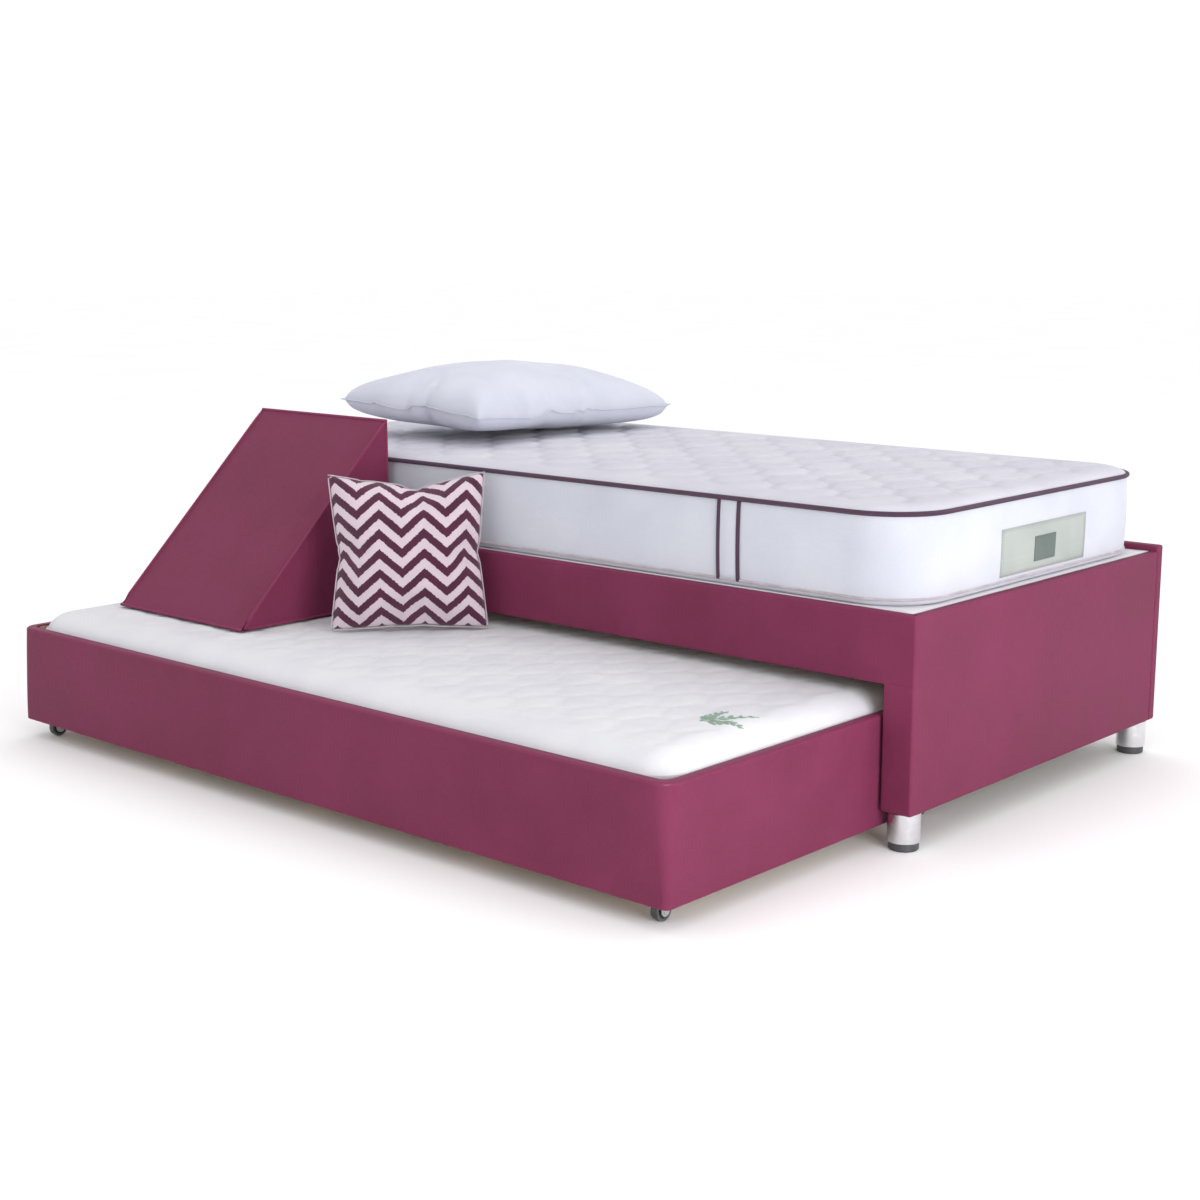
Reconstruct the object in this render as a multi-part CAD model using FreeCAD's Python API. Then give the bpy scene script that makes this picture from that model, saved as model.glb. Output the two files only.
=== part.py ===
import FreeCAD, Part
import os

# Trundle bed: an upholstered single divan whose front opens over a drawer bed on casters.
# Millimetres. +X runs to the foot end, -Y to the front, +Z up. The origin is on the floor,
# at the middle of the object's bounding box with the trundle pulled out as far as PULL_OUT.

# Divan
DIVAN_LENGTH = 1960.0
DIVAN_DEPTH = 940.0
DECK_TOP = 430.0
FOOT_HEIGHT = 70.0
FASCIA_HEIGHT = 130.0
BACK_LIP = 12.0
BOARD = 18.0
SKIN = 3.0
POST_SECTION = 41.0
BEAM_WIDTH = 35.0
BEAM_HEIGHT = 95.0
LEDGER_WIDTH = 30.0
LEDGER_HEIGHT = 60.0
BEARER_WIDTH = 45.0
BEARER_HEIGHT = 45.0
BEARER_COUNT = 4
DECK_BOARD = 12.0
SKIN_RETURN = 20.0

# Angle brackets that hold the bearers
BRACKET_LEG = 36.0
BRACKET_STEEL = 2.5
BRACKET_WIDTH = 30.0

# Feet
FOOT_RADIUS = 30.0
FOOT_INSET = 34.0
FOOT_CUP_ROUND = 2.0
FOOT_PAD_RADIUS = 27.0
FOOT_PAD_HEIGHT = 21.0
FOOT_PAD_BITE = 6.0
FOOT_BOLT_RADIUS = 5.0
FOOT_BOLT_BITE = 45.0

# Trundle box
PULL_OUT = 580.0
TRUNDLE_DEPTH = 850.0
TRUNDLE_SIDE_GAP = 5.0
TRUNDLE_BOTTOM = 38.0
TRUNDLE_HEIGHT = 205.0
TRUNDLE_CORNER = 30.0
BASE_RISE = 15.0
BASE_BOARD = 12.0
BATTEN_WIDTH = 60.0
BATTEN_COUNT = 3
BUMPER_RADIUS = 15.0

# Casters
WHEEL_RADIUS = 19.0
WHEEL_WIDTH = 14.0
HUB_RADIUS = 7.0
AXLE_RADIUS = 3.0
AXLE_CLEARANCE = 0.08
WHEEL_SIDE_CLEARANCE = 1.0
CASTER_STEEL = 2.0
CASTER_PLATE = 3.0
CASTER_PLATE_X = 38.0
CASTER_PLATE_Y = 50.0
CASTER_END_INSET = 52.0
CASTER_PLATE_GAP = 2.0
FORK_WIDTH = 20.0
AXLE_HEAD = 1.5
AXLE_HEAD_RADIUS = 5.0
WHEEL_CROWN = 1.0
WHEEL_RIM = 4.0
WHEEL_DISH = 3.0

# Screws
SCREW_RADIUS = 2.0
SCREW_HEAD_RADIUS = 4.0
SCREW_HEAD_HEIGHT = 2.0
DECK_SCREW_BITE = 8.0
DECK_SCREW_INSET = 60.0
CASTER_SCREW_LENGTH = 10.0

# Soft pieces
MATTRESS_LENGTH = 1900.0
MATTRESS_WIDTH = 890.0
MATTRESS_HEIGHT = 180.0
MATTRESS_CORNER = 120.0
MATTRESS_EDGE = 16.0
MATTRESS_SETBACK = 22.0
LABEL_LENGTH = 320.0
LABEL_HEIGHT = 90.0
LABEL_THICKNESS = 1.5
LABEL_SHIFT = 17.0
LABEL_RISE = 20.0
TRUNDLE_MATTRESS_HEIGHT = 214.0
TRUNDLE_MATTRESS_CORNER = 60.0
TRUNDLE_MATTRESS_EDGE = 22.0
MATTRESS_GAP = 4.0
SOFT_GAP = 0.5

PILLOW_LENGTH = 660.0
PILLOW_WIDTH = 460.0
PILLOW_HEIGHT = 170.0
PILLOW_FROM_HEAD = 235.0
PILLOW_FROM_FRONT = 200.0

CUSHION_SIDE = 319.0
CUSHION_THICKNESS = 105.0
CUSHION_TURN = 48.0
CUSHION_LEAN = 9.0
CUSHION_X = -144.0

# How round the pillow and the cushion are: the corner in plan, and the edge as a share of the height
PLUMP_CORNER = 60.0
PLUMP_EDGE = 0.46

WEDGE_WIDTH = 426.0
WEDGE_DEPTH = 418.0
WEDGE_HEIGHT = 412.0
WEDGE_EDGE = 4.0
WEDGE_FROM_HEAD = 196.0

# Worked out from the sizes above
UP = (0, 0, 1)
BACKWARD = (0, 1, 0)
SIDEWAYS = (1, 0, 0)
ENDS = (("head", -1), ("foot", 1))
FACE = SKIN + BOARD
STILE_WIDTH = FACE + POST_SECTION + SKIN
CASTER_EDGE_INSET = FACE + CASTER_PLATE_GAP + CASTER_PLATE_Y / 2
END_X = DIVAN_LENGTH / 2
BACK_Y = (DIVAN_DEPTH + PULL_OUT) / 2
FRONT_Y = BACK_Y - DIVAN_DEPTH
FASCIA_BOTTOM = DECK_TOP - FASCIA_HEIGHT
OPENING_X = END_X - STILE_WIDTH
FRAME_X = END_X - FACE
FRAME_Y = FRONT_Y + FACE
BACK_INNER_Y = BACK_Y - BOARD - 2 * SKIN
BACK_TOP = DECK_TOP + BACK_LIP
POST_INNER_X = FRAME_X - POST_SECTION
DECK_UNDERSIDE = DECK_TOP - SKIN - DECK_BOARD
BEARER_BOTTOM = DECK_UNDERSIDE - BEARER_HEIGHT
BEARER_FRONT_Y = FRAME_Y + BEAM_WIDTH
BEARER_REAR_Y = BACK_INNER_Y - LEDGER_WIDTH
TRUNDLE_X = OPENING_X - TRUNDLE_SIDE_GAP
TRUNDLE_Y = FRONT_Y - PULL_OUT
TRUNDLE_REAR_Y = TRUNDLE_Y + TRUNDLE_DEPTH
TRUNDLE_TOP = TRUNDLE_BOTTOM + TRUNDLE_HEIGHT
TRAY_X = TRUNDLE_X - FACE
TRAY_FRONT_Y = TRUNDLE_Y + FACE
TRAY_REAR_Y = TRUNDLE_REAR_Y - FACE
BASE_BOTTOM = TRUNDLE_BOTTOM + BASE_RISE
BASE_TOP = BASE_BOTTOM + BASE_BOARD
TRUNDLE_MATTRESS_TOP = BASE_TOP + TRUNDLE_MATTRESS_HEIGHT
MATTRESS_TOP = DECK_TOP + MATTRESS_HEIGHT
MATTRESS_FRONT_Y = FRONT_Y + MATTRESS_SETBACK


def block(x0, x1, y0, y1, z0, z1):
    """A box between two values along each axis, given in either order."""
    corner = FreeCAD.Vector(min(x0, x1), min(y0, y1), min(z0, z1))
    return Part.makeBox(abs(x1 - x0), abs(y1 - y0), abs(z1 - z0), corner)


def rod(x, y, z, radius, length, axis):
    """A cylinder from a point along an axis."""
    return Part.makeCylinder(radius, length, FreeCAD.Vector(x, y, z), FreeCAD.Vector(*axis))


def group(solids):
    """Separate solids kept as one piece of the list, such as a set of screws."""
    return Part.makeCompound(solids)


def softened(solid, radius, keep):
    """A solid with the edges that pass a test rounded."""
    edges = [edge for edge in solid.Edges if keep(edge)]
    return solid.makeFillet(radius, edges)


def end_span(side, inner, outer):
    """Two X values on the head (-1) or foot (+1) side."""
    return side * inner, side * outer


def divan_boards():
    """The boards that make the divan's box: a front frame of three, two ends and the back."""
    nodes = {}
    top = DECK_TOP - SKIN
    bottom = FOOT_HEIGHT + SKIN
    face_y = FRONT_Y + SKIN
    stile_top = FASCIA_BOTTOM + SKIN
    nodes["fascia_board"] = block(SKIN - END_X, END_X - SKIN, face_y, FRAME_Y, stile_top, top)
    for name, side in ENDS:
        x0, x1 = end_span(side, OPENING_X + SKIN, END_X - SKIN)
        nodes["front_stile_" + name] = block(x0, x1, face_y, FRAME_Y, bottom, stile_top)
        x0, x1 = end_span(side, FRAME_X, END_X - SKIN)
        nodes[name + "_end_board"] = block(x0, x1, FRAME_Y, BACK_INNER_Y, bottom, top)
    nodes["back_board"] = block(SKIN - END_X, END_X - SKIN, BACK_INNER_Y + SKIN, BACK_Y - SKIN,
                                bottom, BACK_TOP - SKIN)
    return nodes


def front_cover():
    """One skin over the fascia and both stiles, turned in round the trundle opening."""
    inside = FRONT_Y + SKIN
    stile_top = FASCIA_BOTTOM + SKIN
    skin = block(-END_X, END_X, FRONT_Y, FRAME_Y, FOOT_HEIGHT, DECK_TOP)
    skin = skin.cut(block(-OPENING_X, OPENING_X, FRONT_Y, FRAME_Y, FOOT_HEIGHT, FASCIA_BOTTOM))
    skin = skin.cut(block(SKIN - END_X, END_X - SKIN, inside, FRAME_Y, stile_top, DECK_TOP - SKIN))
    for _, side in ENDS:
        x0, x1 = end_span(side, OPENING_X + SKIN, END_X - SKIN)
        skin = skin.cut(block(x0, x1, inside, FRAME_Y, FOOT_HEIGHT + SKIN, stile_top))
    return skin.removeSplitter()


def end_cover(side):
    """The skin over an end board, turned in over its top and bottom edges."""
    x0, x1 = end_span(side, FRAME_X, END_X)
    skin = block(x0, x1, FRAME_Y, BACK_INNER_Y, FOOT_HEIGHT, DECK_TOP)
    x0, x1 = end_span(side, FRAME_X, END_X - SKIN)
    return skin.cut(block(x0, x1, FRAME_Y, BACK_INNER_Y, FOOT_HEIGHT + SKIN, DECK_TOP - SKIN))


def back_cover():
    """The skin round the back board, open on the inside below the deck."""
    skin = block(-END_X, END_X, BACK_INNER_Y, BACK_Y, FOOT_HEIGHT, BACK_TOP)
    skin = skin.cut(block(SKIN - END_X, END_X - SKIN, BACK_INNER_Y + SKIN, BACK_Y - SKIN,
                          FOOT_HEIGHT + SKIN, BACK_TOP - SKIN))
    window_x = POST_INNER_X - SKIN_RETURN
    return skin.cut(block(-window_x, window_x, BACK_INNER_Y, BACK_INNER_Y + SKIN,
                          FOOT_HEIGHT + SKIN_RETURN, DECK_UNDERSIDE - LEDGER_HEIGHT - SKIN_RETURN))


def corners():
    """Each corner of the divan: its name and the plan centre of its post."""
    half = POST_SECTION / 2
    rows = (("front", FRAME_Y + half), ("rear", BACK_INNER_Y - half))
    return [(row + "_" + name, side * (FRAME_X - half), y) for row, y in rows for name, side in ENDS]


def corner_posts():
    """Four timber posts that join the boards and carry the feet, each with a hole for its bolt."""
    half = POST_SECTION / 2
    nodes = {}
    for (name, x, y), (_, foot_x, foot_y) in zip(corners(), foot_spots()):
        post = block(x - half, x + half, y - half, y + half, FOOT_HEIGHT, DECK_UNDERSIDE)
        bolt_hole = rod(foot_x, foot_y, FOOT_HEIGHT, FOOT_BOLT_RADIUS, FOOT_BOLT_BITE, UP)
        nodes["corner_post_" + name] = post.cut(bolt_hole)
    return nodes


def bearer_xs():
    """Evenly spaced centres of the cross bearers."""
    step = 2 * POST_INNER_X / (BEARER_COUNT + 1)
    return [step * (i - (BEARER_COUNT - 1) / 2) for i in range(BEARER_COUNT)]


def deck_screw_spots():
    """Plan places of the screws that hold the deck to the bearers."""
    ys = (BEARER_FRONT_Y + DECK_SCREW_INSET, BEARER_REAR_Y - DECK_SCREW_INSET)
    return [(x, y) for x in bearer_xs() for y in ys]


def deck_screw_shank(x, y):
    """The space that a deck screw's shank takes in the bearer and the deck."""
    return rod(x, y, BEARER_BOTTOM, SCREW_RADIUS, BEARER_HEIGHT + DECK_SCREW_BITE, UP)


def deck_screws():
    """Pan-head screws driven up through the bearers into the deck boards."""
    screws = []
    for x, y in deck_screw_spots():
        head = rod(x, y, BEARER_BOTTOM - SCREW_HEAD_HEIGHT, SCREW_HEAD_RADIUS, SCREW_HEAD_HEIGHT, UP)
        screws.append(head.fuse(deck_screw_shank(x, y)))
    return {"deck_screws": group(screws)}


def angle_bracket(x, y, facing):
    """A steel angle in the corner between a bearer's side and the timber at its end."""
    z1 = DECK_UNDERSIDE - (BEARER_HEIGHT - BRACKET_WIDTH) / 2
    z0 = z1 - BRACKET_WIDTH
    along = block(x, x + BRACKET_STEEL, y, y + facing * BRACKET_LEG, z0, z1)
    across = block(x, x + BRACKET_LEG, y, y + facing * BRACKET_STEEL, z0, z1)
    return along.fuse(across).removeSplitter()


def deck_frame():
    """The front beam, the ledgers, the cross bearers and their brackets."""
    nodes = {}
    ledger_bottom = DECK_UNDERSIDE - LEDGER_HEIGHT
    nodes["front_beam"] = block(-POST_INNER_X, POST_INNER_X, FRAME_Y, BEARER_FRONT_Y,
                                DECK_UNDERSIDE - BEAM_HEIGHT, DECK_UNDERSIDE)
    nodes["rear_ledger"] = block(-POST_INNER_X, POST_INNER_X, BEARER_REAR_Y, BACK_INNER_Y,
                                 ledger_bottom, DECK_UNDERSIDE)
    for name, side in ENDS:
        x0, x1 = end_span(side, FRAME_X - LEDGER_WIDTH, FRAME_X)
        nodes[name + "_ledger"] = block(x0, x1, FRAME_Y + POST_SECTION, BACK_INNER_Y - POST_SECTION,
                                        ledger_bottom, DECK_UNDERSIDE)
    holes = group([deck_screw_shank(x, y) for x, y in deck_screw_spots()])
    brackets = []
    for i, x in enumerate(bearer_xs()):
        side_x = x + BEARER_WIDTH / 2
        bearer = block(x - BEARER_WIDTH / 2, side_x, BEARER_FRONT_Y, BEARER_REAR_Y,
                       BEARER_BOTTOM, DECK_UNDERSIDE)
        nodes["deck_bearer_%d" % (i + 1)] = bearer.cut(holes)
        brackets.append(angle_bracket(side_x, BEARER_FRONT_Y, 1))
        brackets.append(angle_bracket(side_x, BEARER_REAR_Y, -1))
    nodes["bearer_brackets"] = group(brackets)
    return nodes


def deck():
    """Two deck boards and the cloth over them, between the skins' top returns."""
    top = DECK_TOP - SKIN
    holes = group([deck_screw_shank(x, y) for x, y in deck_screw_spots()])
    nodes = {"deck_cloth": block(-FRAME_X, FRAME_X, FRAME_Y, BACK_INNER_Y, top, DECK_TOP)}
    for name, side in ENDS:
        board = block(0, side * FRAME_X, FRAME_Y, BACK_INNER_Y, DECK_UNDERSIDE, top)
        nodes["deck_board_" + name] = board.cut(holes)
    return nodes


def foot_spots():
    """Each foot's name and plan centre, a little in from the divan's outer faces."""
    rows = (("front", FRONT_Y + FOOT_INSET), ("rear", BACK_Y - FOOT_INSET))
    return [(row + "_" + name, side * (END_X - FOOT_INSET), y) for row, y in rows for name, side in ENDS]


def foot_cup(x, y):
    """A chromed cup with a solid head, an open lower end for the pad and a bore for the bolt."""
    skirt = FOOT_PAD_HEIGHT - FOOT_PAD_BITE
    cup = rod(x, y, skirt, FOOT_RADIUS, FOOT_HEIGHT - skirt, UP)
    rims = [edge for edge in cup.Edges if edge.BoundBox.ZLength < 1]
    cup = cup.makeFillet(FOOT_CUP_ROUND, rims)
    cup = cup.cut(rod(x, y, skirt, FOOT_PAD_RADIUS, FOOT_PAD_HEIGHT - skirt, UP))
    return cup.cut(rod(x, y, FOOT_PAD_HEIGHT, FOOT_BOLT_RADIUS, FOOT_HEIGHT - FOOT_PAD_HEIGHT, UP))


def foot_pad(x, y):
    """A black plug in the cup with a chamfered lower edge that stands on the floor."""
    pad = rod(x, y, 0, FOOT_PAD_RADIUS, FOOT_PAD_HEIGHT, UP)
    return pad.makeChamfer(FOOT_CUP_ROUND, [edge for edge in pad.Edges if edge.BoundBox.ZMax < 1])


def feet():
    """The four feet: cup, pad and the bolt through the cup into the post."""
    nodes = {}
    bolts = []
    length = FOOT_HEIGHT + FOOT_BOLT_BITE - FOOT_PAD_HEIGHT
    for name, x, y in foot_spots():
        nodes["foot_cup_" + name] = foot_cup(x, y)
        nodes["foot_pad_" + name] = foot_pad(x, y)
        bolts.append(rod(x, y, FOOT_PAD_HEIGHT, FOOT_BOLT_RADIUS, length, UP))
    nodes["foot_bolts"] = group(bolts)
    return nodes


def trundle_bumpers():
    """Rubber buffers on the back board that stop the trundle flush with the divan's front."""
    closed_rear = FRONT_Y + TRUNDLE_DEPTH
    length = BACK_INNER_Y + SKIN - closed_rear
    z = TRUNDLE_BOTTOM + TRUNDLE_HEIGHT / 2 + FOOT_HEIGHT / 2
    buffers = [rod(side * OPENING_X / 2, closed_rear, z, BUMPER_RADIUS, length, BACKWARD)
               for _, side in ENDS]
    return {"trundle_bumpers": group(buffers)}


def tray_wall(x, front, rear, bottom, top, corner):
    """Three sides of the drawer round its tray, with the two front corners rounded."""
    wall = block(-x, x, front, rear, bottom, top)
    wall = softened(wall, corner,
                    lambda edge: edge.BoundBox.ZLength > SKIN and edge.BoundBox.YMax < front + SKIN)
    return wall.cut(block(-TRAY_X, TRAY_X, TRAY_FRONT_Y, rear, bottom, top))


def trundle_boards():
    """The drawer's front, side and rear boards, the skin over them, and the base on its battens."""
    nodes = {}
    bottom = TRUNDLE_BOTTOM + SKIN
    top = TRUNDLE_TOP - SKIN
    rear = TRUNDLE_REAR_Y - SKIN
    shell = tray_wall(TRUNDLE_X - SKIN, TRUNDLE_Y + SKIN, rear, bottom, top, TRUNDLE_CORNER - SKIN)
    nodes["trundle_front_board"] = shell.common(
        block(-TRUNDLE_X, TRUNDLE_X, TRUNDLE_Y, TRAY_FRONT_Y, bottom, top))
    for name, side in ENDS:
        x0, x1 = end_span(side, TRAY_X, TRUNDLE_X)
        nodes["trundle_%s_board" % name] = shell.common(block(x0, x1, TRAY_FRONT_Y, rear, bottom, top))
    skin = tray_wall(TRUNDLE_X, TRUNDLE_Y, TRUNDLE_REAR_Y, TRUNDLE_BOTTOM, TRUNDLE_TOP, TRUNDLE_CORNER)
    nodes["trundle_cover"] = skin.cut(shell).removeSplitter()
    nodes["trundle_rear_board"] = block(-TRAY_X, TRAY_X, TRAY_REAR_Y, rear, bottom, top)
    base = block(-TRAY_X, TRAY_X, TRAY_FRONT_Y, TRAY_REAR_Y, BASE_BOTTOM, BASE_TOP)
    holes = [shank for _, x, y in caster_spots() for shank in caster_screw_shanks(x, y)]
    nodes["trundle_base"] = base.cut(group(holes))
    step = 2 * TRAY_X / (BATTEN_COUNT + 1)
    battens = []
    for i in range(BATTEN_COUNT):
        x = step * (i - (BATTEN_COUNT - 1) / 2)
        battens.append(block(x - BATTEN_WIDTH / 2, x + BATTEN_WIDTH / 2, TRAY_FRONT_Y, TRAY_REAR_Y,
                             bottom, BASE_BOTTOM))
    nodes["trundle_battens"] = group(battens)
    return nodes


def caster_spots():
    """Each caster's name and plan centre under the trundle's base."""
    rows = (("front", TRUNDLE_Y + CASTER_EDGE_INSET), ("rear", TRUNDLE_REAR_Y - CASTER_EDGE_INSET))
    x = TRUNDLE_X - CASTER_END_INSET
    return [(row + "_" + name, side * x, y) for row, y in rows for name, side in ENDS]


def caster_bracket(x, y):
    """A plate under the base with two rounded legs that hold the axle."""
    half_gap = WHEEL_WIDTH / 2 + WHEEL_SIDE_CLEARANCE
    plate = block(x - CASTER_PLATE_X / 2, x + CASTER_PLATE_X / 2, y - CASTER_PLATE_Y / 2,
                  y + CASTER_PLATE_Y / 2, BASE_BOTTOM - CASTER_PLATE, BASE_BOTTOM)
    for side in (-1, 1):
        x0, x1 = end_span(side, half_gap, half_gap + CASTER_STEEL)
        leg = block(x + x0, x + x1, y - FORK_WIDTH / 2, y + FORK_WIDTH / 2, WHEEL_RADIUS, BASE_BOTTOM)
        leg = leg.fuse(rod(x + min(x0, x1), y, WHEEL_RADIUS, FORK_WIDTH / 2, CASTER_STEEL, SIDEWAYS))
        plate = plate.fuse(leg)
    reach = half_gap + CASTER_STEEL
    plate = plate.cut(rod(x - reach, y, WHEEL_RADIUS, AXLE_RADIUS, 2 * reach, SIDEWAYS))
    return plate.cut(group(caster_screw_shanks(x, y))).removeSplitter()


def caster_screw_shanks(x, y):
    """The four screws' shanks, at the plate's corners."""
    dx = CASTER_PLATE_X / 2 - SCREW_HEAD_RADIUS - SCREW_RADIUS / 2
    dy = CASTER_PLATE_Y / 2 - SCREW_HEAD_RADIUS - SCREW_RADIUS / 2
    z = BASE_BOTTOM - CASTER_PLATE
    return [rod(x + sx * dx, y + sy * dy, z, SCREW_RADIUS, CASTER_SCREW_LENGTH, UP)
            for sx in (-1, 1) for sy in (-1, 1)]


def caster_axle(x, y):
    """A riveted pin through both legs, with a flat head outside each."""
    reach = WHEEL_WIDTH / 2 + WHEEL_SIDE_CLEARANCE + CASTER_STEEL
    pin = rod(x - reach, y, WHEEL_RADIUS, AXLE_RADIUS, 2 * reach, SIDEWAYS)
    for start in (x - reach - AXLE_HEAD, x + reach):
        pin = pin.fuse(rod(start, y, WHEEL_RADIUS, AXLE_HEAD_RADIUS, AXLE_HEAD, SIDEWAYS))
    return pin


def caster_wheel(x, y):
    """A turned wheel: a crowned tread, dished sides and a hub bored for the axle."""
    half = WHEEL_WIDTH / 2
    bore = AXLE_RADIUS + AXLE_CLEARANCE
    rim = WHEEL_RADIUS - WHEEL_CROWN
    lip = rim - WHEEL_RIM
    web = half - WHEEL_DISH
    def at(radius, across):
        return FreeCAD.Vector(x + across, y, WHEEL_RADIUS + radius)
    tread = Part.Arc(at(rim, -half), at(WHEEL_RADIUS, 0), at(rim, half)).toShape()
    outline = [at(rim, half), at(lip, half), at(HUB_RADIUS + WHEEL_RIM, web), at(HUB_RADIUS, web),
               at(HUB_RADIUS, half), at(bore, half), at(bore, -half), at(HUB_RADIUS, -half),
               at(HUB_RADIUS, -web), at(HUB_RADIUS + WHEEL_RIM, -web), at(lip, -half), at(rim, -half)]
    section = Part.Face(Part.Wire([tread] + list(Part.makePolygon(outline).Edges)))
    return section.revolve(FreeCAD.Vector(x, y, WHEEL_RADIUS), FreeCAD.Vector(*SIDEWAYS), 360)


def casters():
    """Four fixed casters: bracket, axle, screws, and a wheel that turns on the axle."""
    nodes = {}
    axles = []
    screws = []
    for name, x, y in caster_spots():
        nodes["caster_bracket_" + name] = caster_bracket(x, y)
        nodes["caster_wheel_" + name] = caster_wheel(x, y)
        axles.append(caster_axle(x, y))
        for shank in caster_screw_shanks(x, y):
            spot = shank.BoundBox.Center
            z = BASE_BOTTOM - CASTER_PLATE - SCREW_HEAD_HEIGHT
            screws.append(shank.fuse(rod(spot.x, spot.y, z, SCREW_HEAD_RADIUS, SCREW_HEAD_HEIGHT, UP)))
    nodes["caster_axles"] = group(axles)
    nodes["caster_screws"] = group(screws)
    return nodes


def mattress_block(x0, x1, y0, y1, z0, z1, corner, edge_round):
    """A mattress: a slab with rounded corners in plan and rounded top and bottom edges."""
    slab = block(x0, x1, y0, y1, z0, z1)
    slab = softened(slab, corner, lambda edge: edge.BoundBox.ZLength > (z1 - z0) / 2)
    return softened(slab, edge_round, lambda edge: edge.BoundBox.ZLength < 1)


def mattresses():
    """The bed mattress with the label on its foot end, and the trundle's mattress."""
    half = MATTRESS_LENGTH / 2
    rear = MATTRESS_FRONT_Y + MATTRESS_WIDTH
    label_y = (MATTRESS_FRONT_Y + rear) / 2 + LABEL_SHIFT
    label_z = DECK_TOP + LABEL_RISE
    return {
        "bed_mattress": mattress_block(-half, half, MATTRESS_FRONT_Y, rear, DECK_TOP, MATTRESS_TOP,
                                       MATTRESS_CORNER, MATTRESS_EDGE),
        "mattress_label": block(half, half + LABEL_THICKNESS, label_y - LABEL_LENGTH / 2,
                                label_y + LABEL_LENGTH / 2, label_z, label_z + LABEL_HEIGHT),
        "trundle_mattress": mattress_block(MATTRESS_GAP - TRAY_X, TRAY_X - MATTRESS_GAP,
                                           TRAY_FRONT_Y + MATTRESS_GAP, TRAY_REAR_Y - MATTRESS_GAP,
                                           BASE_TOP, TRUNDLE_MATTRESS_TOP,
                                           TRUNDLE_MATTRESS_CORNER, TRUNDLE_MATTRESS_EDGE),
    }


def plump(width, depth, height):
    """A plump pad about the origin: a slab whose every edge is well rounded."""
    slab = block(-width / 2, width / 2, -depth / 2, depth / 2, -height / 2, height / 2)
    slab = softened(slab, PLUMP_CORNER, lambda edge: edge.BoundBox.ZLength > height / 2)
    return softened(slab, height * PLUMP_EDGE, lambda edge: edge.BoundBox.ZLength < 1)


def pillow():
    """The bed pillow, lying across the mattress at the head end."""
    pad = plump(PILLOW_WIDTH, PILLOW_LENGTH, PILLOW_HEIGHT)
    pad.translate(FreeCAD.Vector(PILLOW_FROM_HEAD + PILLOW_WIDTH / 2 - END_X,
                                 FRONT_Y + PILLOW_FROM_FRONT + PILLOW_LENGTH / 2,
                                 MATTRESS_TOP + SOFT_GAP + PILLOW_HEIGHT / 2))
    return {"pillow": pad}


def scatter_cushion():
    """A square cushion standing on the trundle mattress with one upper corner against the divan."""
    pad = plump(CUSHION_SIDE, CUSHION_SIDE, CUSHION_THICKNESS)
    origin = FreeCAD.Vector(0, 0, 0)
    pad.rotate(origin, FreeCAD.Vector(*SIDEWAYS), 90 - CUSHION_LEAN)
    pad.rotate(origin, FreeCAD.Vector(*UP), CUSHION_TURN)
    reach = pad.optimalBoundingBox()
    pad.translate(FreeCAD.Vector(CUSHION_X, FRONT_Y - SOFT_GAP - reach.YMax,
                                 TRUNDLE_MATTRESS_TOP + SOFT_GAP - reach.ZMin))
    return {"scatter_cushion": pad}


def wedge_bolster():
    """A triangular wedge: an upright back against the divan and a slope to the front."""
    x0 = WEDGE_FROM_HEAD - END_X
    back = FRONT_Y - SOFT_GAP
    z0 = TRUNDLE_MATTRESS_TOP + SOFT_GAP
    corners_yz = ((back, z0), (back, z0 + WEDGE_HEIGHT), (back - WEDGE_DEPTH, z0), (back, z0))
    outline = Part.makePolygon([FreeCAD.Vector(x0, y, z) for y, z in corners_yz])
    prism = Part.Face(outline).extrude(FreeCAD.Vector(WEDGE_WIDTH, 0, 0))
    return {"wedge_bolster": prism.makeFillet(WEDGE_EDGE, prism.Edges)}


def build():
    """Every node of the bed, by name."""
    nodes = {}
    nodes.update(divan_boards())
    nodes["front_cover"] = front_cover()
    for name, side in ENDS:
        nodes[name + "_end_cover"] = end_cover(side)
    nodes["back_cover"] = back_cover()
    for make in (corner_posts, deck_frame, deck, deck_screws, feet, trundle_bumpers, trundle_boards,
                 casters, mattresses, pillow, scatter_cushion, wedge_bolster):
        nodes.update(make())
    return nodes


def main():
    os.makedirs("parts", exist_ok=True)
    nodes = build()
    for name, shape in nodes.items():
        shape.exportStep("parts/%s.step" % name)
    print(len(nodes), "nodes")


main()
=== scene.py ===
import bpy
import bmesh
import math
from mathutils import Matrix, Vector, noise
from mathutils.bvhtree import BVHTree


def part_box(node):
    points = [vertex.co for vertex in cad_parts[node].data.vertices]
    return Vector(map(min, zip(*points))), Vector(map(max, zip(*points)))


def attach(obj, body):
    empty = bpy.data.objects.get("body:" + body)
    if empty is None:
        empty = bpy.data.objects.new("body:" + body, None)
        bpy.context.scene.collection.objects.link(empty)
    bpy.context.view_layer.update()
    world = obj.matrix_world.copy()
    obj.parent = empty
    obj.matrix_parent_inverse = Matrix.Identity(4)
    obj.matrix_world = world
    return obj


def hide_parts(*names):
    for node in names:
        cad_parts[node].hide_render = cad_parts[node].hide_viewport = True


# Trundle bed. Metres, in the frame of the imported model: +X to the foot end, -Y to the front, +Z up.

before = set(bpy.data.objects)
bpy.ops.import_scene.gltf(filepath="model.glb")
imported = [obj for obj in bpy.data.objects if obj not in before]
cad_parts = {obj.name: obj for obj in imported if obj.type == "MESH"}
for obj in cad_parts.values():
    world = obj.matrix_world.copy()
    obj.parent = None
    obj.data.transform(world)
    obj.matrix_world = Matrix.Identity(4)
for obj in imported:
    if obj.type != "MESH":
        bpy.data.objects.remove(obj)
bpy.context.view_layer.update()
ENDS = (("head", -1), ("foot", 1))

# The point attribute that holds a sewn piece's places on its flat cloth, from 0 to 1
FLAT = "flat_cloth"


# ---- materials

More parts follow.
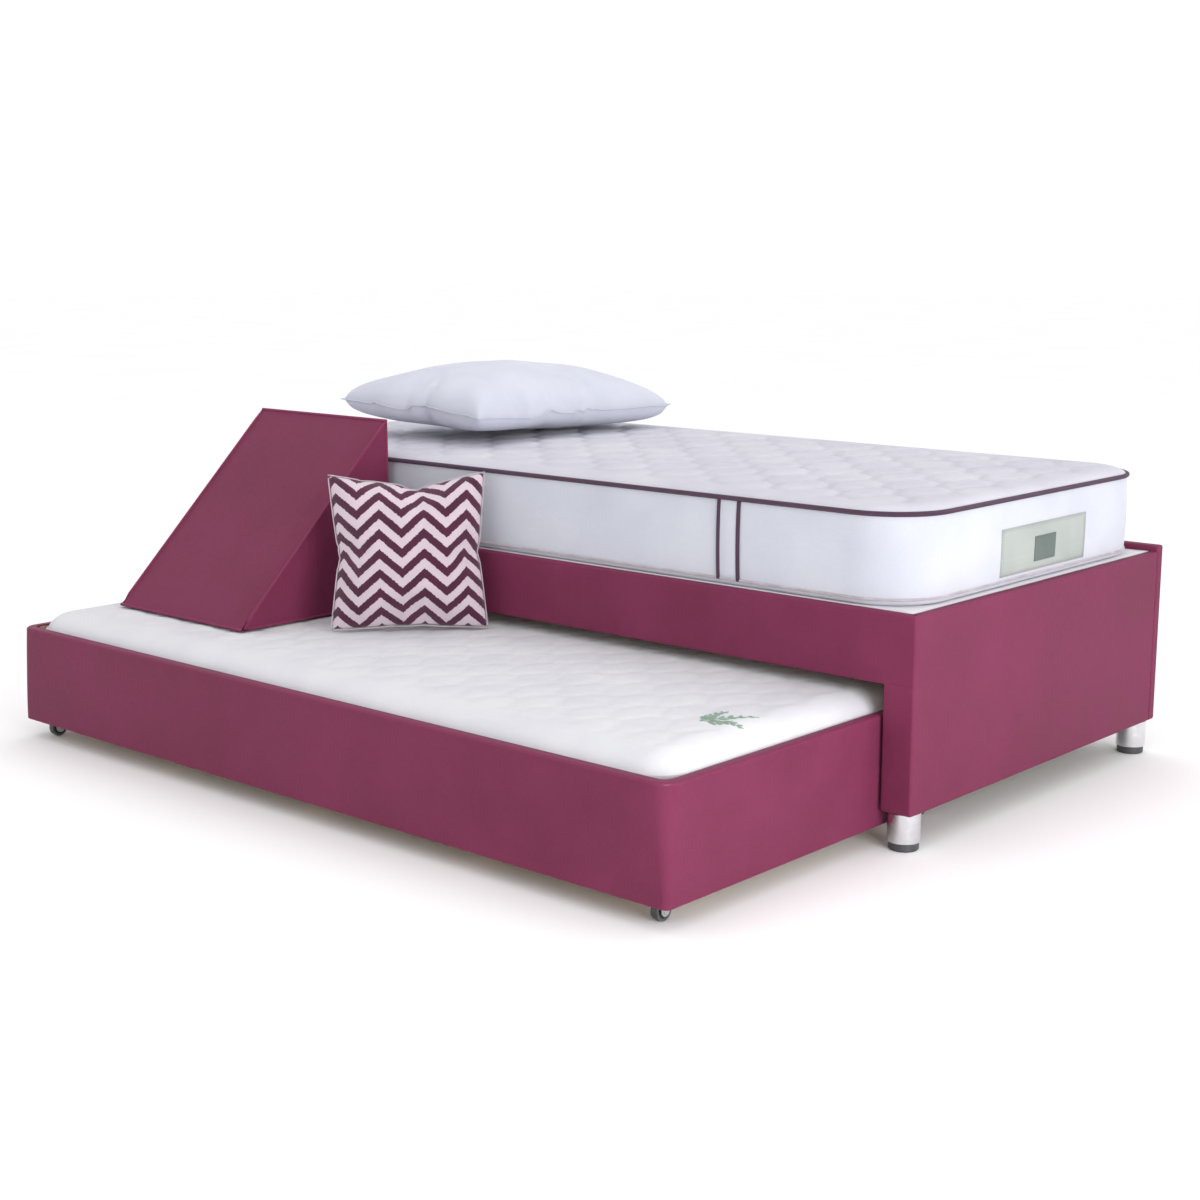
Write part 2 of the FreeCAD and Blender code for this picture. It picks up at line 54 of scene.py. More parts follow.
def shade(colour, factor, lift=0.0):
    """A colour made darker or paler."""
    return [min(1.0, c * factor + lift) for c in colour]


class Dye:
    """A node material in the making: its tree, its shader and the position on the object at rest."""

    def __init__(self, name):
        self.material = bpy.data.materials.new(name)
        self.material.use_nodes = True
        self.tree = self.material.node_tree
        self.shader = self.tree.nodes["Principled BSDF"]
        self.at = self.add("ShaderNodeTexCoord").outputs["Object"]

    def fill(self, node, key, value):
        """Gives one input a value, or a link from a socket."""
        if isinstance(value, bpy.types.NodeSocket):
            self.tree.links.new(value, node.inputs[key])
        else:
            node.inputs[key].default_value = value

    def add(self, kind, inputs=None, **settings):
        """A node with its settings and its inputs."""
        node = self.tree.nodes.new(kind)
        for key, value in settings.items():
            setattr(node, key, value)
        for key, value in (inputs or {}).items():
            self.fill(node, key, value)
        return node

    def speckle(self, scale, detail=2.0, rough=0.5):
        """A soft noise from 0 to 1."""
        inputs = {"Vector": self.at, "Scale": scale, "Detail": detail, "Roughness": rough}
        return self.add("ShaderNodeTexNoise", inputs).outputs["Fac"]

    def wave(self, direction, scale, distortion, **more):
        """Ridges across a direction, or rings where there is none."""
        inputs = {"Vector": self.at, "Scale": scale, "Distortion": distortion, **more}
        kind = {"wave_type": "BANDS", "bands_direction": direction} if direction else {"wave_type": "RINGS"}
        return self.add("ShaderNodeTexWave", inputs, **kind).outputs["Fac"]

    def cells(self, scale, output="Distance", **settings):
        """Small cells, by their distance or their colour."""
        inputs = {"Vector": self.at, "Scale": scale}
        return self.add("ShaderNodeTexVoronoi", inputs, **settings).outputs[output]

    def weave(self, scale):
        """The height of a plain weave, from two sets of ridges."""
        both = self.maths("ADD", self.wave("X", scale, 0.6), self.wave("Z", scale, 0.6))
        return self.maths("MULTIPLY", both, 0.5)

    def edge_highlight_and_wear(self):
        """Near 1 on convex edges, near 0 on flat faces: the mask for painted edge highlights and for edge
        wear.
        """
        pointy = self.add("ShaderNodeNewGeometry").outputs["Pointiness"]
        return self.spread(pointy, 0.51, 0.60, 0.0, 1.0)

    def ramp(self, value, low, high, colour_low, colour_high):
        """A colour that runs from one to another as a value crosses a range."""
        node = self.add("ShaderNodeValToRGB", {"Fac": value})
        for stop, spot, colour in zip(node.color_ramp.elements, (low, high), (colour_low, colour_high)):
            stop.position = spot
            stop.color = (*colour, 1)
        return node.outputs["Color"]

    def spread(self, value, low, high, to_low, to_high):
        """A value moved from one range to another."""
        return self.add("ShaderNodeMapRange", {"Value": value, "From Min": low, "From Max": high,
                                               "To Min": to_low, "To Max": to_high}).outputs["Result"]

    def maths(self, operation, first, second=0.0, third=0.0):
        """One arithmetic step."""
        return self.add("ShaderNodeMath", {0: first, 1: second, 2: third}, operation=operation).outputs[0]

    def mix(self, factor, first, second, kind="MIX"):
        """Two colours mixed by a factor."""
        inputs = {0: factor}
        for key, value in ((6, first), (7, second)):
            inputs[key] = value if isinstance(value, bpy.types.NodeSocket) else (*value, 1)
        return self.add("ShaderNodeMix", inputs, data_type="RGBA", blend_type=kind).outputs[2]

    def tint(self, base, colour, value, low, high, to_low, to_high):
        """A colour drawn towards another by a share that changes as a value crosses a range."""
        return self.mix(self.spread(value, low, high, to_low, to_high), base, colour)

    def finish(self, base, rough, *layers, **values):
        """Joins colour, roughness and bump: layers are (height, depth in metres), outermost first."""
        self.fill(self.shader, "Base Color", base)
        self.fill(self.shader, "Roughness", rough)
        for key, value in values.items():
            self.shader.inputs[key.replace("_", " ")].default_value = value
        inputs = {}
        for height, depth in reversed(layers):
            inputs.update({"Height": height, "Distance": depth, "Strength": 1.0})
            inputs["Normal"] = self.add("ShaderNodeBump", inputs).outputs["Normal"]
        if layers:
            self.fill(self.shader, "Normal", inputs["Normal"])
        return self.material


def leatherette(name, dark, light):
    """Grained leatherette: fine pebble grain, mottled dye, convex edges painted paler as a painted highlight.
    """
    dye = Dye(name)
    cloud = dye.speckle(5.0, 4.0, 0.6)
    fine = dye.speckle(260.0, 3.0, 0.6)
    valley = dye.spread(dye.cells(620.0, feature="DISTANCE_TO_EDGE"), 0.0, 0.22, 0.0, 1.0)
    base = dye.ramp(cloud, 0.30, 0.72, dark, light)
    base = dye.tint(base, shade(dark, 0.45), valley, 0.0, 1.0, 0.30, 0.0)
    # Convex edges drawn paler: a painted highlight along every edge of the upholstery.
    base = dye.tint(base, shade(light, 1.7), dye.edge_highlight_and_wear(), 0.0, 1.0, 0.0, 0.35)
    rough = dye.maths("ADD", dye.spread(cloud, 0.3, 0.7, 0.42, 0.56), dye.spread(fine, 0.3, 0.7, -0.05, 0.05))
    return dye.finish(base, rough, (valley, 0.00022), (fine, 0.00018), (dye.speckle(38.0, 3.0), 0.0009),
                      Specular_IOR_Level=0.10)


def knit(name, colour, dark):
    """Stretch ticking: fine rows of stitches, slight fuzz and a soft cast of colour."""
    dye = Dye(name)
    cloud = dye.speckle(7.0, 3.0)
    rows = dye.wave("DIAGONAL", 420.0, 1.6, Detail=1.0)
    loops = dye.cells(630.0)
    base = dye.ramp(cloud, 0.32, 0.70, dark, colour)
    base = dye.tint(base, shade(dark, 0.72), loops, 0.2, 0.8, 0.0, 0.16)
    return dye.finish(base, dye.spread(cloud, 0.3, 0.7, 0.78, 0.92),
                      (rows, 0.00025), (loops, 0.00030), (dye.speckle(60.0, 3.0), 0.0010),
                      Sheen_Weight=0.25, Sheen_Roughness=0.6, Specular_IOR_Level=0.25)


def cotton(name, colour, dark):
    """Plain-woven cotton: crossed threads and slight slubs."""
    dye = Dye(name)
    cloud = dye.speckle(9.0, 3.0)
    threads = dye.weave(900.0)
    base = dye.ramp(cloud, 0.30, 0.72, dark, colour)
    base = dye.tint(base, shade(dark, 0.7), threads, 0.0, 1.0, 0.12, 0.0)
    return dye.finish(base, dye.spread(cloud, 0.3, 0.7, 0.76, 0.88),
                      (threads, 0.00016), (dye.speckle(90.0, 4.0), 0.0005),
                      Sheen_Weight=0.2, Sheen_Roughness=0.5, Specular_IOR_Level=0.3)


def chevron(name, pale, dark, rows, teeth, start):
    """Woven cotton printed with zigzag bands, laid out on the flat cloth before it was filled."""
    dye = Dye(name)
    flat = dye.add("ShaderNodeAttribute", attribute_name=FLAT).outputs["Vector"]
    split = dye.add("ShaderNodeSeparateXYZ", {0: flat})
    along = dye.maths("FRACT", dye.maths("MULTIPLY_ADD", split.outputs["X"], teeth, start))
    zigzag = dye.maths("ABSOLUTE", dye.maths("MULTIPLY_ADD", along, 2.0, -1.0))
    height = dye.maths("MULTIPLY_ADD", split.outputs["Y"], rows, zigzag)
    slub = dye.spread(dye.speckle(240.0), 0.3, 0.7, -0.03, 0.03)
    band = dye.maths("FRACT", dye.maths("ADD", height, slub))
    ink = dye.spread(dye.maths("ABSOLUTE", dye.maths("SUBTRACT", band, 0.5)), 0.24, 0.27, 0.0, 1.0)
    threads = dye.weave(620.0)
    wash = dye.speckle(24.0, 3.0)
    paper = dye.ramp(wash, 0.3, 0.7, shade(pale, 0.93), pale)
    stain = dye.ramp(wash, 0.3, 0.7, dark, shade(dark, 1.5))
    base = dye.tint(dye.mix(ink, paper, stain), shade(dark, 0.5), threads, 0.0, 1.0, 0.22, 0.0)
    return dye.finish(base, dye.spread(wash, 0.3, 0.7, 0.78, 0.9),
                      (threads, 0.00030), (dye.speckle(80.0, 3.0), 0.0006),
                      Sheen_Weight=0.2, Sheen_Roughness=0.5, Specular_IOR_Level=0.25)


def thread_cord(name, colour, twist=900.0):
    """Piping or stitching thread: a fine twist along the cord."""
    dye = Dye(name)
    strands = dye.wave("DIAGONAL", twist, 2.0)
    base = dye.tint(colour, shade(colour, 0.4), strands, 0.0, 1.0, 0.45, 0.0)
    base = dye.tint(base, shade(colour, 1.6), dye.speckle(30.0), 0.35, 0.7, 0.0, 0.3)
    return dye.finish(base, dye.spread(strands, 0.0, 1.0, 0.75, 0.55), (strands, 0.0004))


def chrome(name, colour):
    """Polished plating with faint turning lines, haze and small marks."""
    dye = Dye(name)
    marks = dye.speckle(45.0, 6.0, 0.7)
    base = dye.ramp(marks, 0.35, 0.75, shade(colour, 0.86), colour)
    return dye.finish(base, dye.spread(marks, 0.35, 0.75, 0.07, 0.20),
                      (dye.wave("Z", 500.0, 0.4), 0.00003), (marks, 0.00008), Metallic=1.0)


def zinc(name, colour):
    """Zinc-plated pressed steel: mottled spangle, brushed, duller in places."""
    dye = Dye(name)
    patch = dye.speckle(30.0, 4.0)
    base = dye.mix(0.10, colour, dye.cells(260.0, "Color"), "OVERLAY")
    base = dye.tint(base, shade(colour, 0.55), patch, 0.4, 0.75, 0.0, 0.35)
    rough = dye.spread(patch, 0.3, 0.7, 0.30, 0.48)
    return dye.finish(base, rough, (dye.speckle(700.0), 0.00006), Metallic=0.9)


def moulded(name, colour, rough_low, rough_high):
    """Moulded plastic or rubber: fine spark texture, scuffs and dust in patches."""
    dye = Dye(name)
    patch = dye.speckle(40.0, 4.0)
    base = dye.ramp(patch, 0.35, 0.75, colour, shade(colour, 1.9, 0.01))
    base = dye.tint(base, shade(colour, 3.0, 0.05), dye.edge_highlight_and_wear(), 0.0, 1.0, 0.0, 0.5)
    rough = dye.spread(patch, 0.3, 0.7, rough_low, rough_high)
    return dye.finish(base, rough, (dye.speckle(1400.0), 0.00005))


def timber(name, pale, dark, ring_scale, along="X"):
    """Sawn wood with grain along one axis: rings, pores and darker streaks."""
    dye = Dye(name)
    stretch = [0.12 if axis == along else 1.0 for axis in "XYZ"]
    dye.at = dye.add("ShaderNodeMapping", {"Vector": dye.at, "Scale": stretch}).outputs["Vector"]
    rings = dye.wave(None, ring_scale, 6.0, **{"Detail": 3.0, "Detail Scale": 1.5})
    pores = dye.speckle(900.0)
    base = dye.ramp(rings, 0.15, 0.85, dark, pale)
    base = dye.tint(base, shade(dark, 0.7), dye.speckle(60.0, 5.0, 0.65), 0.35, 0.7, 0.0, 0.4)
    base = dye.tint(base, shade(dark, 0.45), pores, 0.55, 0.75, 0.0, 0.35)
    return dye.finish(base, dye.spread(rings, 0.0, 1.0, 0.62, 0.78), (pores, 0.00012), (rings, 0.00018))


def felt(name, colour):
    """Non-woven lining: matted fibres with no grain."""
    dye = Dye(name)
    fibres = dye.speckle(420.0, 6.0, 0.75)
    base = dye.ramp(fibres, 0.3, 0.75, shade(colour, 0.82), shade(colour, 1.1))
    return dye.finish(base, dye.spread(fibres, 0.3, 0.7, 0.88, 0.98), (fibres, 0.0005), Sheen_Weight=0.3)


PLUM = leatherette("plum_leatherette", (0.170, 0.026, 0.067), (0.212, 0.036, 0.090))
TICKING = knit("bed_ticking", (0.62, 0.635, 0.70), (0.55, 0.57, 0.65))
TICKING_TOP = knit("bed_quilting", (0.63, 0.62, 0.69), (0.54, 0.53, 0.62))
TRUNDLE_TICKING = knit("trundle_quilting", (0.74, 0.74, 0.77), (0.66, 0.66, 0.71))
PIPING = thread_cord("dark_piping", (0.085, 0.035, 0.075))
PALE_PIPING = thread_cord("pale_piping", (0.66, 0.58, 0.64))
LABEL_CLOTH = cotton("label_cloth", (0.40, 0.43, 0.41), (0.32, 0.36, 0.34))
LABEL_MARK = cotton("label_mark", (0.12, 0.15, 0.14), (0.08, 0.11, 0.10))
SPRIG_GREEN = thread_cord("sprig_thread", (0.42, 0.60, 0.46), 1400.0)
PILLOW_COTTON = cotton("pillow_cotton", (0.63, 0.64, 0.73), (0.56, 0.58, 0.67))
CHEVRON = chevron("chevron_cotton", (0.72, 0.60, 0.67), (0.060, 0.010, 0.032), 8.2, 3.6, 0.35)
CHROME = chrome("foot_chrome", (0.78, 0.79, 0.81))
FOOT_BLACK = moulded("foot_black", (0.015, 0.015, 0.017), 0.35, 0.55)
RUBBER = moulded("buffer_rubber", (0.020, 0.020, 0.021), 0.70, 0.85)
WHEEL_NYLON = moulded("wheel_nylon", (0.030, 0.030, 0.033), 0.30, 0.50)
ZINC = zinc("zinc_steel", (0.60, 0.61, 0.63))
PLY = timber("plywood", (0.62, 0.46, 0.28), (0.47, 0.32, 0.18), 22.0)
PINE = ((0.72, 0.54, 0.32), (0.55, 0.36, 0.18), 60.0)
PINE_X = timber("pine_along_bed", *PINE, "X")
PINE_Y = timber("pine_across_bed", *PINE, "Y")
PINE_Z = timber("pine_upright", *PINE, "Z")
LINING = felt("deck_felt", (0.66, 0.63, 0.68))


# ---- shapes

# How many steps round a block's edge and round a mattress's corner
EDGE_ROUNDS = 3
CORNER_STEPS = 10
# How far apart the points lie on a board's skin, a mattress's skin and a mattress's piping
BOARD_STEP = 0.018
MATTRESS_STEP = 0.0085
PIPING_STEP = 0.02
# How far from both ends of its side a mattress's skin is cut
NEAR_ENDS = (0.0, 0.0015, 0.004, 0.008, 0.013, 0.020, 0.028, 0.037)

# The padding of an upholstered board, and the puckers beside its turned edges
PAD_BULGE = 0.0015
PAD_FADE = 0.05
PUCKER_REACH = 0.02
PUCKER_DEPTH = 0.0007
PUCKER_PITCH = 0.007
CREASE_SIZE = 0.16
CREASE_DEPTH = 0.0005

# A mattress's wall, its rounded foot and its sewn lines
WALL_SWELL = 0.0035
WALL_TUCK = 0.0012
FOOT_ROUND = 0.010
QUILT_WAVE = 0.09
QUILT_GROOVE = 0.010


def add_object(name, data):
    """A new object in the scene."""
    item = bpy.data.objects.new(name, data)
    bpy.context.collection.objects.link(item)
    return item


def add_mesh(name, verts, faces, material):
    """A mesh object from points and faces."""
    mesh = bpy.data.meshes.new(name)
    mesh.from_pydata([tuple(v) for v in verts], [], faces)
    mesh.materials.append(material)
    return add_object(name, mesh)


def make_piece(name, part, material, body, slot, *nodes):
    """A smooth piece from points and faces, with its normals outward, settled on a body."""
    piece = add_mesh(name, *part, material)
    bm = bmesh.new()
    bm.from_mesh(piece.data)
    bmesh.ops.remove_doubles(bm, verts=bm.verts, dist=1e-6)
    bmesh.ops.recalc_face_normals(bm, faces=bm.faces)
    bm.to_mesh(piece.data)
    bm.free()
    smooth_faces(piece)
    settle(piece, body, slot, *nodes)
    return piece


def smooth_faces(piece):
    """Shades a piece smooth."""
    for polygon in piece.data.polygons:
        polygon.use_smooth = True


def settle(piece, body, slot, *nodes):
    """Fixes a piece to a CAD body and hides the nodes that it stands for; its slot is not used."""
    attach(piece, body)
    if nodes:
        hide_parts(*nodes)


def join_parts(parts):
    """Several point and face lists as one."""
    verts = []
    faces = []
    for part_verts, part_faces in parts:
        start = len(verts)
        verts += part_verts
        faces += [[start + i for i in face] for face in part_faces]
    return verts, faces


def grid_faces(rows, columns, start=0):
    """Faces of a grid of points laid out row by row."""
    faces = []
    for i in range(rows):
        for j in range(columns):
            a = start + i * (columns + 1) + j
            faces.append([a, a + columns + 1, a + columns + 2, a + 1])
    return faces


def ring_faces(rings, sides, closed=False):
    """Faces between rings of points, with a cap at each end unless the last ring meets the first."""
    faces = []
    for i in range(rings if closed else rings - 1):
        a, b = i * sides, ((i + 1) % rings) * sides
        for k in range(sides):
            n = (k + 1) % sides
            faces.append([a + k, a + n, b + n, b + k])
    if not closed:
        faces.append(list(range(sides))[::-1])
        faces.append(list(range((rings - 1) * sides, rings * sides)))
    return faces


def between(low, high, ends, step):
    """Coordinates at given distances from both ends of a side, and an even step apart in its middle."""
    start = low + ends[-1]
    run = high - low - 2 * ends[-1]
    count = max(2, round(run / step))
    inner = [start + run * i / count for i in range(1, count)]
    return [low + end for end in ends] + inner + [high - end for end in reversed(ends)]


def cuts(low, high, radius):
    """Coordinates along one side of a rounded box: close together over the rounding, then even steps."""
    turn = [radius * (1 - math.tan(math.radians(45) * i / EDGE_ROUNDS)) for i in range(EDGE_ROUNDS, -1, -1)]
    return between(low, high, turn, BOARD_STEP)


def fine_ends(low, high):
    """Coordinates across a mattress: fine near both ends, even in the middle."""
    return between(low, high, NEAR_ENDS, MATTRESS_STEP)


def lattice(xs, ys, zs):
    """The skin of a block cut at the given coordinates: points and faces."""
    index = {}
    points = []
    faces = []
    sizes = (len(xs) - 1, len(ys) - 1, len(zs) - 1)

    def corner(i, j, k):
        if (i, j, k) not in index:
            index[i, j, k] = len(points)
            points.append(Vector((xs[i], ys[j], zs[k])))
        return index[i, j, k]

    for axis in range(3):
        u, v = (axis + 1) % 3, (axis + 2) % 3
        for level in (0, sizes[axis]):
            for a in range(sizes[u]):
                for b in range(sizes[v]):
                    loop = []
                    for da, db in ((0, 0), (1, 0), (1, 1), (0, 1)):
                        at = [0, 0, 0]
                        at[axis], at[u], at[v] = level, a + da, b + db
                        loop.append(corner(*at))
                    faces.append(loop if level else loop[::-1])
    return points, faces


def rounded(point, low, high, radius):
    """A point of a block's skin moved onto the block with rounded edges."""
    inner = Vector([min(max(point[i], low[i] + radius), high[i] - radius) for i in range(3)])
    return inner + (point - inner).normalized() * radius


def crease(point, size, depth, seed):
    """Slow waves in a stretched skin."""
    return depth * noise.noise(point / size + Vector((seed, 0.0, 0.0)))


def pucker(point, run, edge, seed=0.0):
    """How far a stretched skin is drawn in beside its turned edge, in small waves along a run."""
    wave = math.sin(run / PUCKER_PITCH + 3 * noise.noise(point * 9 + Vector((seed, 0, 0))))
    return PUCKER_DEPTH * math.exp(-edge / PUCKER_REACH) * (wave - 1) * 0.5


def skin_block(low, high, radius, seed):
    """An upholstered board: rounded edges, faces padded slightly proud, and slow creases."""
    points, faces = lattice(*[cuts(low[i], high[i], radius) for i in range(3)])
    middle = (Vector(low) + Vector(high)) / 2
    half = (Vector(high) - Vector(low)) / 2
    thin = min(range(3), key=lambda i: half[i])
    wide = [i for i in range(3) if i != thin]
    verts = []
    for point in points:
        spot = rounded(point, low, high, radius)
        if abs(abs(point[thin] - middle[thin]) - half[thin]) < 1e-6:
            edge = min(half[i] - abs(point[i] - middle[i]) for i in wide)
            swell = min(1.0, edge / PAD_FADE)
            push = PAD_BULGE * (swell * (2 - swell)) - PAD_BULGE
            push += pucker(point, point[wide[0]] + point[wide[1]], edge, seed)
            push += crease(point, CREASE_SIZE, CREASE_DEPTH, seed) - CREASE_DEPTH
            spot[thin] += push * math.copysign(1, point[thin] - middle[thin]) * swell
        verts.append(spot)
    return verts, faces


def tube(path, radius, closed=False, sides=8, flat=1.0):
    """A cord's points and faces round a path, with its section turned to follow it."""
    verts = []
    count = len(path)
    for i, point in enumerate(path):
        before = path[i - 1] if closed or i else path[i]
        after = path[(i + 1) % count] if closed or i < count - 1 else path[i]
        along = (after - before).normalized()
        up = Vector((0, 0, 1)) if abs(along.z) < 0.9 else Vector((0, 1, 0))
        side = along.cross(up).normalized()
        up = side.cross(along)
        for k in range(sides):
            turn = 2 * math.pi * k / sides
            verts.append(point + side * math.cos(turn) * radius + up * math.sin(turn) * radius * flat)
    return verts, ring_faces(count, sides, closed)


def evenly(path, step):
    """The same path with points a step apart."""
    points = [path[0]]
    for a, b in zip(path, path[1:]):
        count = max(1, round((b - a).length / step))
        points += [a.lerp(b, i / count) for i in range(1, count + 1)]
    return points


def rim_path(low, high, corner, z, inset):
    """A closed path round a rectangle with rounded corners, seen from above."""
    path = []
    radius = corner - inset
    for turn, (sx, sy) in enumerate(((1, 1), (-1, 1), (-1, -1), (1, -1))):
        x = (high.x if sx > 0 else low.x) - sx * corner
        y = (high.y if sy > 0 else low.y) - sy * corner
        for i in range(CORNER_STEPS + 1):
            angle = math.radians(90) * (turn + i / CORNER_STEPS)
            path.append(Vector((x + math.cos(angle) * radius, y + math.sin(angle) * radius, z)))
    return evenly(path + [path[0]], PIPING_STEP)[:-1]


def quilt(x, y, cell):
    """1 on the sewn lines of a pattern of curved diamonds, 0 between them."""
    u = (x + y) / cell
    v = (x - y) / cell
    first = u + QUILT_WAVE * math.sin(2 * math.pi * v)
    second = v + QUILT_WAVE * math.sin(2 * math.pi * u)
    gap = min(abs(first % 1 - 0.5), abs(second % 1 - 0.5)) * cell * 0.7
    return math.exp(-((gap / QUILT_GROOVE) ** 2))


def wall_grow(z, low_z, rim):
    """How far a mattress wall stands out at a height."""
    rise = min(1.0, max(0.0, (z - low_z) / (rim - low_z)))
    return WALL_SWELL * (math.sin(math.pi * rise) ** 0.7) - WALL_TUCK


def mattress_skin(low, high, corner, rim_drop, shoulder, cell, depth, seed):
    """A mattress: walls that swell between their seams, and a quilted top that rises from the rim."""
    rim = high.z - rim_drop
    zs = [low.z + FOOT_ROUND * share for share in (0.0, 0.3, 0.7, 1.2)]
    rows = max(4, round((rim - zs[-1]) / 0.012))
    zs += [zs[-1] + (rim - zs[-1]) * (i + 1) / rows for i in range(rows)]
    points, faces = lattice(fine_ends(low.x, high.x), fine_ends(low.y, high.y), zs)
    verts = []
    for point in points:
        inner = Vector((min(max(point.x, low.x + corner), high.x - corner),
                        min(max(point.y, low.y + corner), high.y - corner)))
        out = point.xy - inner
        reach = max(abs(out.x), abs(out.y))
        edge = corner - reach
        z = point.z
        if edge < 1e-6:
            grow = wall_grow(z, low.z, rim) + crease(point, 0.11, 0.0010, seed)
            lift = max(0.0, FOOT_ROUND - (z - low.z))
            grow -= FOOT_ROUND - math.sqrt(max(0.0, FOOT_ROUND * FOOT_ROUND - lift * lift))
        elif z < low.z + 1e-6:
            grow = -FOOT_ROUND * max(0.0, 1 - edge / 0.03)
        else:
            grow = -WALL_TUCK * max(0.0, 1 - edge / shoulder)
        if reach > 1e-6:
            out = out * (reach + grow) / out.length
        x, y = inner + out
        if z > rim - 1e-6 and edge > 1e-6:
            curve = 1 - min(1.0, edge / shoulder)
            z += rim_drop * math.sqrt(max(0.0, 1 - curve * curve))
            fade = min(1.0, max(0.0, (edge - 0.6 * shoulder) / 0.05))
            z -= fade * depth * quilt(x, y, cell)
            z -= 0.0015 - crease(point, 0.20, 0.0020, seed + 4) * fade
        verts.append(Vector((x, y, z)))
    return verts, faces


# ---- divan

# The upholstery's thickness, how far it turns over an end, its edges' rounding and the lining's squares
SKIN = 0.003
TURN = 0.001
ROUND = 0.005
LINING_ROWS = 96
LINING_COLUMNS = 46


def divan_upholstery():
    """The padded leatherette panels over the divan's boards."""
    front_low, front_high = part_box("front_cover")
    opening_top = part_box("fascia_board")[0].z - SKIN
    front_back = front_high.y - SKIN
    parts = [skin_block(Vector((front_low.x + TURN, front_low.y, opening_top)),
                        Vector((front_high.x - TURN, front_back, front_high.z)), ROUND, 1.0)]
    for name, side in ENDS:
        stile_low, stile_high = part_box("front_stile_" + name)
        x0 = stile_low.x - (SKIN if side > 0 else SKIN - TURN)
        x1 = stile_high.x + (SKIN if side < 0 else SKIN - TURN)
        parts.append(skin_block(Vector((x0, front_low.y, front_low.z)),
                                Vector((x1, front_back, opening_top + ROUND)), ROUND, 3.0 + side))
    make_piece("front_upholstery", join_parts(parts), PLUM, "divan", "upholstery", "front_cover")
    for name, side in ENDS:
        low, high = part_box(name + "_end_cover")
        low.y = front_low.y + TURN
        if side > 0:
            low.x += SKIN
        else:
            high.x -= SKIN
        make_piece(name + "_end_upholstery", skin_block(low, high, ROUND, 6.0 + side), PLUM,
                   "divan", "upholstery", name + "_end_cover")
    make_piece("back_upholstery", skin_block(*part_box("back_cover"), ROUND, 9.0), PLUM,
               "divan", "upholstery", "back_cover")


def deck_lining():
    """The non-slip cloth stretched over the deck boards."""
    low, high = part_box("deck_cloth")
    size = high - low
    verts = []
    for i in range(LINING_ROWS + 1):
        for j in range(LINING_COLUMNS + 1):
            x, y = low.x + size.x * i / LINING_ROWS, low.y + size.y * j / LINING_COLUMNS
            point = Vector((x, y, high.z - 0.001))
            point.z += crease(point, 0.07, 0.0006, 3.0)
            verts.append(point)
    cloth = make_piece("deck_lining", (verts, grid_faces(LINING_ROWS, LINING_COLUMNS)), LINING,
                       "divan", "deck_cloth", "deck_cloth")
    thick = cloth.modifiers.new("thickness", "SOLIDIFY")
    thick.thickness = 0.0012
    thick.offset = -1


# ---- trundle

# The drawer's skin: the rounding of its edges, and of its front corners at the top and at the foot
TRUNDLE_ROUND = 0.006
CORNER_HEAD = 0.036
CORNER_FOOT = 0.014
# How far its section is drawn in at its last three stations, and how many steps it takes round the drawer
END_PULL = (0.005, 0.0024, 0.0006)
SIDE_STEPS = 48
FRONT_STEPS = 100
BEND_STEPS = 12
DIP_DEPTH = 0.0006


def trundle_upholstery():
    """One leatherette skin over the drawer's front and sides, looser at the top of its front corners."""
    low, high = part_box("trundle_cover")
    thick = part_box("trundle_front_board")[1].y - low.y
    section = wall_section(thick, low.z, high.z)
    stations = u_stations()
    centre_z = (low.z + high.z) / 2
    tall = high.z - low.z
    verts = []
    for s, station in enumerate(stations):
        ends = min(s, len(stations) - 1 - s)
        pull = END_PULL[ends] if ends < len(END_PULL) else 0.0
        for a, z in section:
            inward = thick / 2 + (a - thick / 2) * (1 - 2 * pull / thick)
            height = centre_z + (z - centre_z) * (1 - 2 * pull / tall)
            corner = CORNER_FOOT + (CORNER_HEAD - CORNER_FOOT) * ((z - low.z) / tall) ** 1.5
            spot, out = u_point(station, corner, inward, low, high)
            point = Vector((spot.x, spot.y, height))
            if a < 1e-4:
                dip = pucker(point, point.x + point.y, min(z - low.z, high.z - z))
                point += out.to_3d() * (dip + crease(point, CREASE_SIZE, DIP_DEPTH, 12.0) - DIP_DEPTH)
            verts.append(point)
    make_piece("trundle_upholstery", (verts, ring_faces(len(stations), len(section))), PLUM,
               "trundle", "upholstery", "trundle_cover")


def u_stations():
    """Places along the drawer's three sides: which stretch, and how far along it from 0 to 1."""
    side = [(0, i / SIDE_STEPS) for i in (0.0, 0.08, 0.22, *range(1, SIDE_STEPS))]
    bend = [(1, i / BEND_STEPS) for i in range(BEND_STEPS + 1)]
    front = [(2, i / FRONT_STEPS) for i in range(1, FRONT_STEPS)]
    far = [(4 - stretch, 1 - share) for stretch, share in reversed(side + bend)]
    return side + bend + front + far


def u_point(station, corner, inward, low, high):
    """The point at a station and a distance behind the face, and the outward direction there."""
    stretch, share = station
    if stretch in (3, 4):
        spot, out = u_point((4 - stretch, 1 - share), corner, inward, low, high)
        return Vector((low.x + high.x - spot.x, spot.y)), Vector((-out.x, out.y))
    if stretch == 0:
        return Vector((low.x + inward, high.y + (low.y + corner - high.y) * share)), Vector((-1, 0))
    if stretch == 2:
        x = low.x + corner + (high.x - low.x - 2 * corner) * share
        return Vector((x, low.y + inward)), Vector((0, -1))
    angle = math.radians(180 + 90 * share)
    out = Vector((math.cos(angle), math.sin(angle)))
    if inward > corner:
        return Vector((low.x + inward, low.y + inward)), out
    return Vector((low.x + corner, low.y + corner)) + out * (corner - inward), out


